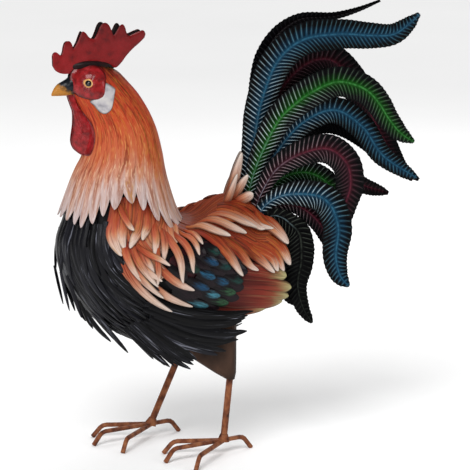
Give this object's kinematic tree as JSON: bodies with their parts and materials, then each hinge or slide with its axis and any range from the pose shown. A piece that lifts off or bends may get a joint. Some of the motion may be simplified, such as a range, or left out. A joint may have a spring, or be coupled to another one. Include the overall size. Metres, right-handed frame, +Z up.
{
  "type": "rooster garden statue",
  "caption": "Standing rooster of painted sheet metal with layered feathers, a fan of curved tail plumes and steel rod legs; a free-standing garden ornament.",
  "frame": {"origin": "on the ground, under the middle of the bounding box", "axes": "+Z up, +X towards the tail with the bird facing -X, +Y towards the bird's right side"},
  "size_m": [0.435, 0.1872, 0.5006],
  "materials": {
    "black_feather": "satin charcoal black paint with grey brushing on the feather edges",
    "hackle": "satin red-orange to cream paint brushed lengthwise",
    "comb": "glossy crimson paint with pink dabs",
    "beak": "glossy ochre paint, blue-black above",
    "wing": "satin dark paint with blue and green feather marks and cream-edged flight feathers",
    "tail_blue": "glossy black paint with blue along an embossed rib and light barbs",
    "tail_green": "glossy black paint with green along an embossed rib and light barbs",
    "tail_wine": "glossy black paint with wine red along an embossed rib and barbs",
    "tail_black": "glossy black paint over embossed barbs",
    "thigh": "satin rust-brown paint brushed with black",
    "leg": "rust-brown paint, darker at the welds"
  },
  "bodies": {
    "root": {"beak": "beak", "body": "black_feather", "breast_feathers_1": "black_feather", "breast_feathers_2": "black_feather", "breast_feathers_3": "black_feather", "breast_feathers_4": "black_feather", "breast_feathers_5": "black_feather", "breast_feathers_6": "black_feather", "breast_feathers_7": "black_feather", "comb_left": "comb", "comb_right": "comb", "flank_feathers_left": "black_feather", "flank_feathers_right": "black_feather", "foot_left": "leg", "foot_right": "leg", "head_and_neck": "hackle", "leg_left": "leg", "leg_right": "leg", "saddle_lower": "hackle", "saddle_upper": "hackle", "shoulder_feathers_left_lower": "hackle", "shoulder_feathers_left_upper": "hackle", "shoulder_feathers_right_lower": "hackle", "shoulder_feathers_right_upper": "hackle", "tail_feather_01_blue_top": "tail_blue", "tail_feather_02_dark_top": "tail_black", "tail_feather_03_green": "tail_green", "tail_feather_04_wine_rear": "tail_wine", "tail_feather_05_blue_middle": "tail_blue", "tail_feather_06_dark_middle": "tail_black", "tail_feather_07_wine_front": "tail_wine", "tail_feather_08_wine_swept": "tail_wine", "tail_feather_09_blue_low": "tail_blue", "tail_feather_10_green_low": "tail_green", "tail_feather_11_wine_low": "tail_wine", "tail_feather_12_black_left": "tail_black", "tail_feather_13_black_right": "tail_black", "thigh_left": "thigh", "thigh_right": "thigh", "wattle_left": "comb", "wattle_right": "comb", "wing_left": "wing", "wing_right": "wing"}
  },
  "joints": []
}
